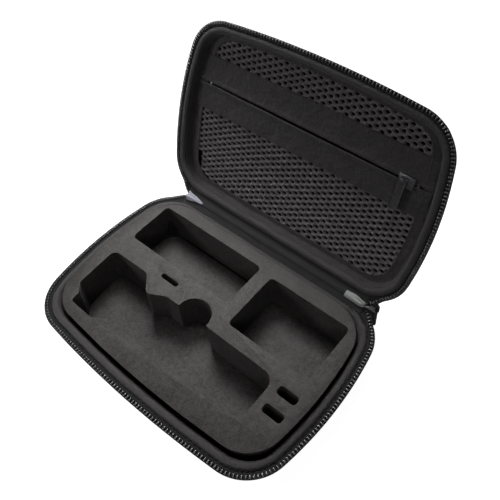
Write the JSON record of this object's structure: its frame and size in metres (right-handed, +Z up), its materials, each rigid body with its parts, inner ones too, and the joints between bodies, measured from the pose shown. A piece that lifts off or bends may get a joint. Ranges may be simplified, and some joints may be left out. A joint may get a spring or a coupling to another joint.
{
  "type": "carry case",
  "caption": "Zipped moulded carry case standing open: tapered base with a die-cut foam insert, hinged lid with a zipped mesh pocket, and sliders with swinging pulls.",
  "frame": {"origin": "middle of the base's flat underside, where the case stands", "axes": "+X along the lid's hinge, +Y back to the hinge, +Z up"},
  "size_m": [0.1762, 0.1793, 0.139],
  "materials": {
    "shell_fabric": "matte",
    "lining_fabric": "matte",
    "lip_fabric": "satin",
    "zip_tape": "matte",
    "zip_coil": "gloss",
    "foam": "matte",
    "hinge_fabric": "matte",
    "pale_fabric": "matte",
    "slider_metal": "satin",
    "pocket_fabric": "matte",
    "mesh_net": "satin"
  },
  "bodies": {
    "base": {"base_shell": "shell_fabric", "base_lining": "lining_fabric", "base_rim_lip": "lip_fabric", "base_zip_tape": "zip_tape", "base_zip_coil": "zip_coil", "base_tape_skirt": "zip_tape", "foam_insert": "foam", "foam_floor": "foam", "hinge_leaf_base": "hinge_fabric", "hinge_fold": "hinge_fabric", "hinge_tab_left": "pale_fabric", "hinge_tab_right": "pale_fabric", "main_slider": "slider_metal"},
    "lid": {"lid_shell": "shell_fabric", "lid_lining": "lining_fabric", "lid_rim_lip": "lip_fabric", "lid_zip_tape": "zip_tape", "lid_zip_coil": "zip_coil", "lid_tape_skirt": "zip_tape", "hinge_leaf_lid": "hinge_fabric", "pocket_border": "pocket_fabric", "pocket_mesh_upper": "mesh_net", "pocket_tape_upper": "pocket_fabric", "pocket_coil_upper": "zip_coil", "pocket_coil_lower": "zip_coil", "pocket_tape_lower": "pocket_fabric", "pocket_mesh_lower": "mesh_net", "pocket_stop_left": "slider_metal", "pocket_stop_right": "slider_metal"},
    "pocket_slider": {"pocket_slider": "slider_metal"},
    "pocket_pull": {"pocket_pull": "slider_metal"},
    "main_pull": {"main_pull": "slider_metal"}
  },
  "joints": [
    {"name": "lid_hinge", "type": "hinge", "parent": "base", "child": "lid", "pos_m": [0, 0.0585, 0.0275], "axis": [-1, 0, 0], "range_deg": [-111.5, 68.5]},
    {"name": "pocket_zip", "type": "slide", "parent": "lid", "child": "pocket_slider", "axis": [1, 0, 0], "range_m": [-0.1195, 0]},
    {"name": "pocket_pull_swing", "type": "hinge", "parent": "pocket_slider", "child": "pocket_pull", "pos_m": [0.0618, 0.09019, 0.09702], "axis": [0, 0.9304, -0.3665], "range_deg": [-85, 85]},
    {"name": "main_pull_swing", "type": "hinge", "parent": "base", "child": "main_pull", "pos_m": [0.071, 0.0623, 0.0275], "axis": [0, 1, 0], "range_deg": [-50, 50]}
  ]
}
